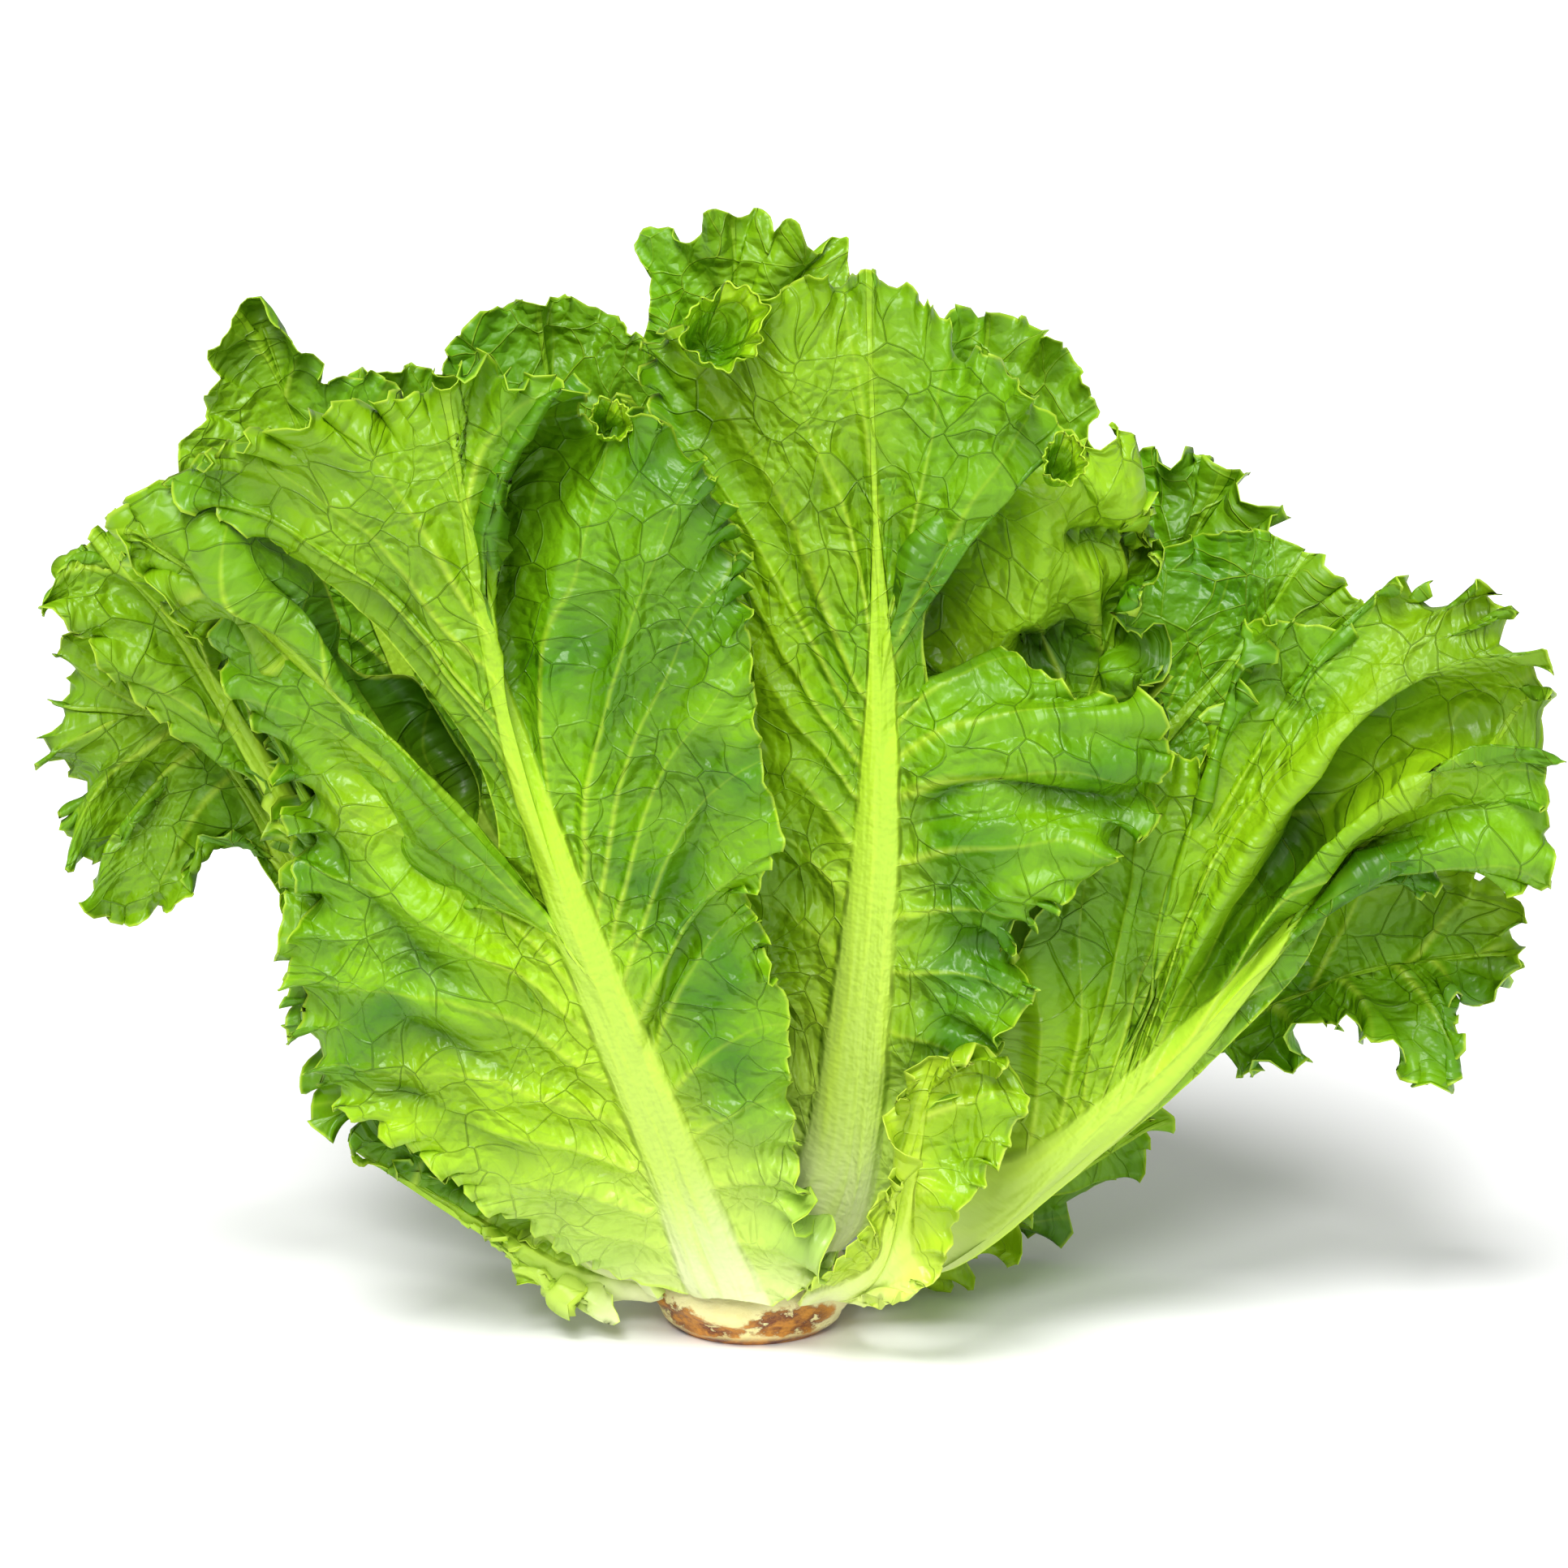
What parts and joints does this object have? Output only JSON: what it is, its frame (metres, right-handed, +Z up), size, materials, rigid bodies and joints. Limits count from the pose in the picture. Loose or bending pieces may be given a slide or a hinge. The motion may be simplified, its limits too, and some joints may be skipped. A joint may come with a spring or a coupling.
{
  "type": "green leaf lettuce",
  "caption": "Loose head of green leaf lettuce standing on its cut butt: broad ribbed leaves with frilled margins fan out and up from a short cone-shaped stem.",
  "frame": {"origin": "centre of the cut face under the stem, on the surface that the head stands on", "axes": "+Z up along the stem, +X along the widest spread of the leaves to the viewer's right, +Y away from the viewer, so the open fan of leaves faces -Y"},
  "size_m": [0.319, 0.146, 0.235],
  "materials": {
    "butt": "satin",
    "outer_leaf": "satin",
    "inner_leaf": "satin",
    "heart_leaf": "satin"
  },
  "bodies": {
    "root": {"stem": "butt", "low_left_leaf": "outer_leaf", "low_right_leaf": "outer_leaf", "low_back_leaf": "outer_leaf", "front_leaf": "outer_leaf", "pale_folded_leaf": "outer_leaf", "right_leaf": "outer_leaf", "rear_right_leaf": "outer_leaf", "rear_left_leaf": "outer_leaf", "drooping_left_leaf": "outer_leaf", "lower_left_leaf": "outer_leaf", "upper_left_leaf": "outer_leaf", "left_leaf": "outer_leaf", "rear_middle_left_leaf": "outer_leaf", "rear_middle_right_leaf": "outer_leaf", "lower_right_leaf": "outer_leaf", "centre_leaf": "outer_leaf", "crumpled_leaf": "inner_leaf", "back_right_leaf": "inner_leaf", "top_leaf": "inner_leaf", "back_left_leaf": "inner_leaf", "side_right_leaf": "inner_leaf", "top_right_leaf": "inner_leaf", "top_left_leaf": "inner_leaf", "far_top_left_leaf": "inner_leaf", "heart_right_leaf": "heart_leaf", "heart_back_leaf": "heart_leaf", "heart_left_leaf": "heart_leaf"}
  },
  "joints": []
}
